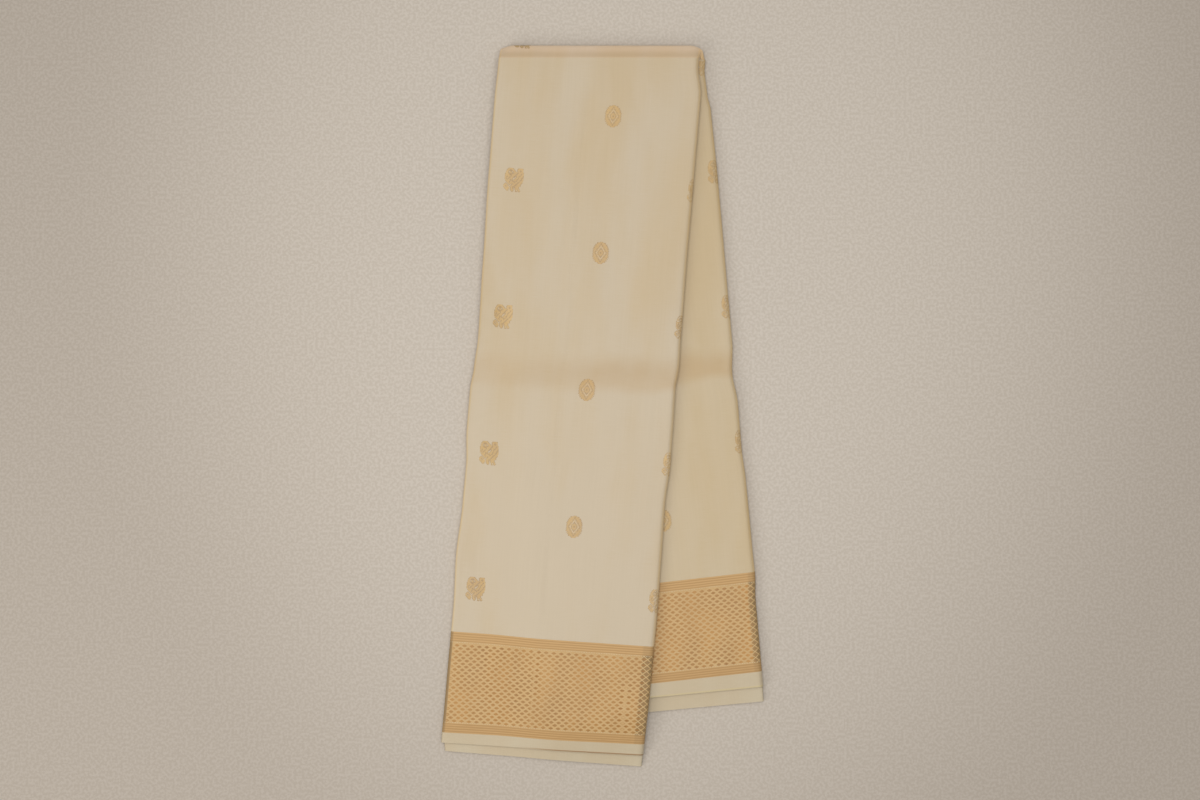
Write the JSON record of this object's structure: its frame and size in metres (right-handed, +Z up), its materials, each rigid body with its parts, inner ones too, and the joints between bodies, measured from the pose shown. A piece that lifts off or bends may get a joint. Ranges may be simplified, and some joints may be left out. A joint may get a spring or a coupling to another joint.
{
  "type": "silk saree",
  "caption": "Cream silk saree with a gold woven border, folded lengthwise into a narrow stack and once across, lying flat for shelf or table display.",
  "frame": {"origin": "on the surface the saree lies on, under the middle of its whole outline", "axes": "+Z up from the surface; +Y towards the fold across the width, along the length of the stack; +X to the right of someone who looks down at it with the fold at the top"},
  "size_m": [0.2807, 0.6276, 0.02],
  "materials": {
    "silk": "cream silk in a fine plain weave with a soft sheen and small gold woven motifs",
    "zari_border": "woven metallic gold thread on silk, in rows of small staggered lozenges",
    "silk_edge": "plain cream silk along the woven edge, slightly paler than the field",
    "inner_silk": "cream silk seen as stacked folded edges"
  },
  "bodies": {
    "root": {"inner_layers": "inner_silk", "fold_turn": "silk", "front_field": "silk", "front_border": "zari_border", "front_selvedge": "silk_edge", "front_lower_hem": "silk_edge", "back_field": "silk", "back_border": "zari_border", "back_selvedge": "silk_edge", "back_lower_hem": "silk_edge"}
  },
  "joints": []
}
